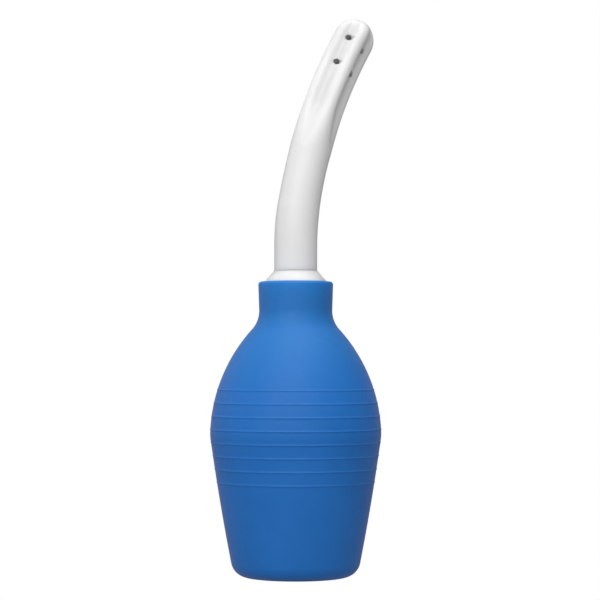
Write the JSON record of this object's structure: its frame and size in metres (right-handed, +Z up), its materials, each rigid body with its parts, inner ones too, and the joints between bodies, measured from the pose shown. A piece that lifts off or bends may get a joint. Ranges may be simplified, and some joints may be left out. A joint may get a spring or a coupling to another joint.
{
  "type": "bulb syringe",
  "caption": "Egg-shaped soft squeeze bulb with a barbed neck insert and a screw-on curved nozzle that ends in a fluted, perforated dome.",
  "frame": {"origin": "centre of the bulb's flat base, which the object stands on", "axes": "+Z up along the bulb's axis of revolution, +X towards the side that the nozzle bends to"},
  "size_m": [0.0802, 0.0802, 0.2625],
  "materials": {
    "blue_silicone": "satin",
    "white_plastic": "semi-gloss",
    "clear_silicone": "matte"
  },
  "bodies": {
    "bulb_body": {"bulb": "blue_silicone", "neck_insert": "white_plastic"},
    "seal": {"seal_washer": "clear_silicone"},
    "nozzle_body": {"nozzle": "white_plastic"}
  },
  "joints": [
    {"name": "nozzle_lift", "type": "slide", "parent": "bulb_body", "child": "seal", "axis": [0, 0, 1], "range_m": [0, 0.006]},
    {"name": "nozzle_unscrew", "type": "hinge", "parent": "seal", "child": "nozzle_body", "pos_m": [0, 0, 0.1428], "axis": [0, 0, 1], "range_deg": [0, 720]}
  ],
  "couplings": [
    {"joint": "nozzle_lift", "follows": "nozzle_unscrew", "m_per_rad": 0.00047746}
  ]
}
